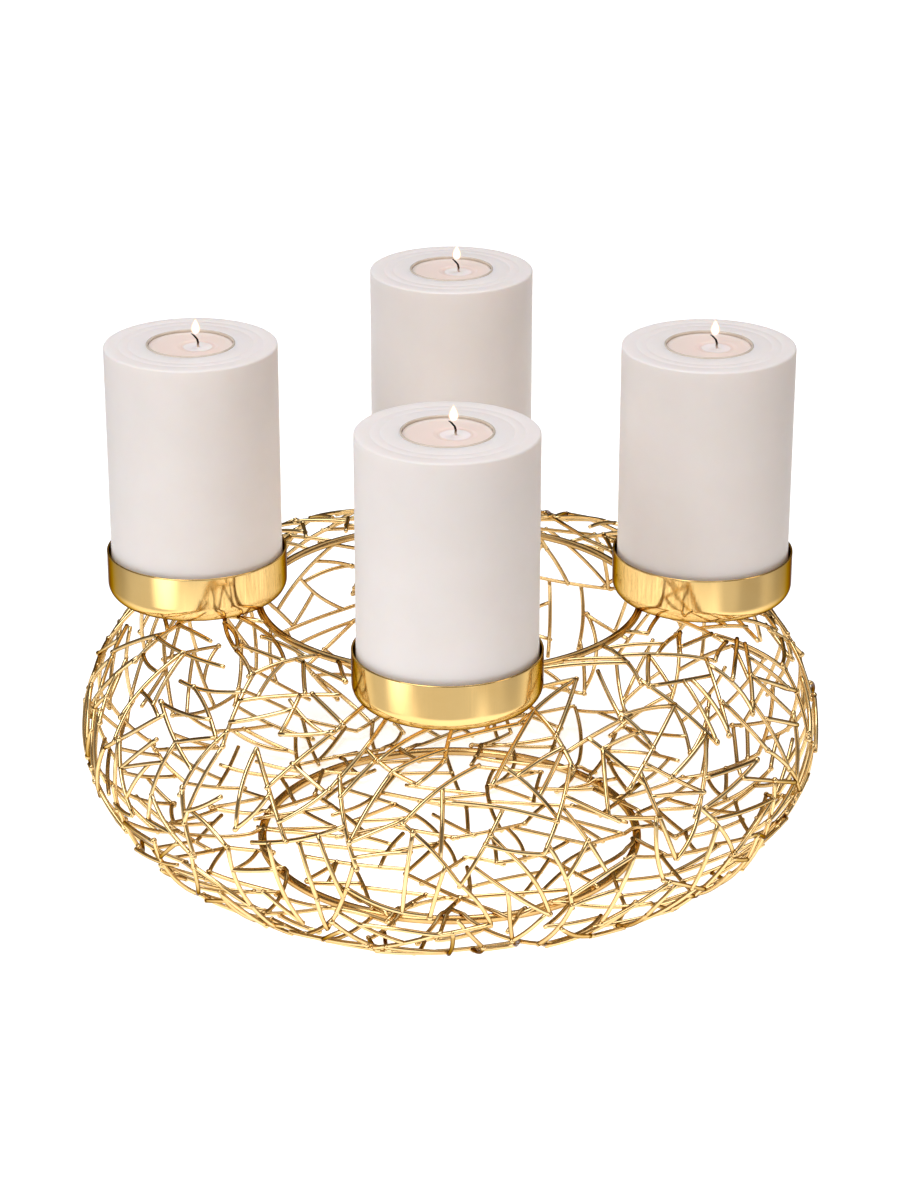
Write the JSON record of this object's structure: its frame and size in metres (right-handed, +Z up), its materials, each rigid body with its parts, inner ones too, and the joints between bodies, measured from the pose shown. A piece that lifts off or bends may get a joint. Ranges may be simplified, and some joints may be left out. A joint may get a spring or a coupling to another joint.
{
  "type": "advent wreath",
  "caption": "Round wreath of soldered gilt wires, bulging out between two hoops and open at the top, with spun dishes that carry wide pillar candles, each with a tealight let into its top.",
  "frame": {"origin": "on the wreath's vertical axis, at the height of the lower hoop's flat underside", "axes": "+Z up along the wreath's axis; -Y towards the front dish, +X towards the right dish"},
  "size_m": [0.3491, 0.3495, 0.2561],
  "materials": {
    "gilt_metal": "gilt, polished",
    "candle_wax": "off-white wax, smooth, slightly satin",
    "clear_cup": "clear moulded plastic",
    "tealight_wax": "beige wax with a small melted pool",
    "charred_wick": "charred cotton"
  },
  "bodies": {
    "root": {"upper_hoop": "gilt_metal", "lower_hoop": "gilt_metal", "nest_sector_01": "gilt_metal", "nest_sector_02": "gilt_metal", "nest_sector_03": "gilt_metal", "nest_sector_04": "gilt_metal", "nest_sector_05": "gilt_metal", "nest_sector_06": "gilt_metal", "nest_sector_07": "gilt_metal", "nest_sector_08": "gilt_metal", "nest_sector_09": "gilt_metal", "nest_sector_10": "gilt_metal", "nest_sector_11": "gilt_metal", "nest_sector_12": "gilt_metal", "nest_bottom": "gilt_metal", "dish_front": "gilt_metal", "dish_right": "gilt_metal", "dish_back": "gilt_metal", "dish_left": "gilt_metal", "candle_front": "candle_wax", "candle_right": "candle_wax", "candle_back": "candle_wax", "candle_left": "candle_wax", "tealight_cup_front": "clear_cup", "tealight_cup_right": "clear_cup", "tealight_cup_back": "clear_cup", "tealight_cup_left": "clear_cup", "tealight_wax_front": "tealight_wax", "tealight_wax_right": "tealight_wax", "tealight_wax_back": "tealight_wax", "tealight_wax_left": "tealight_wax", "wick_front": "charred_wick", "wick_right": "charred_wick", "wick_back": "charred_wick", "wick_left": "charred_wick"}
  },
  "joints": []
}
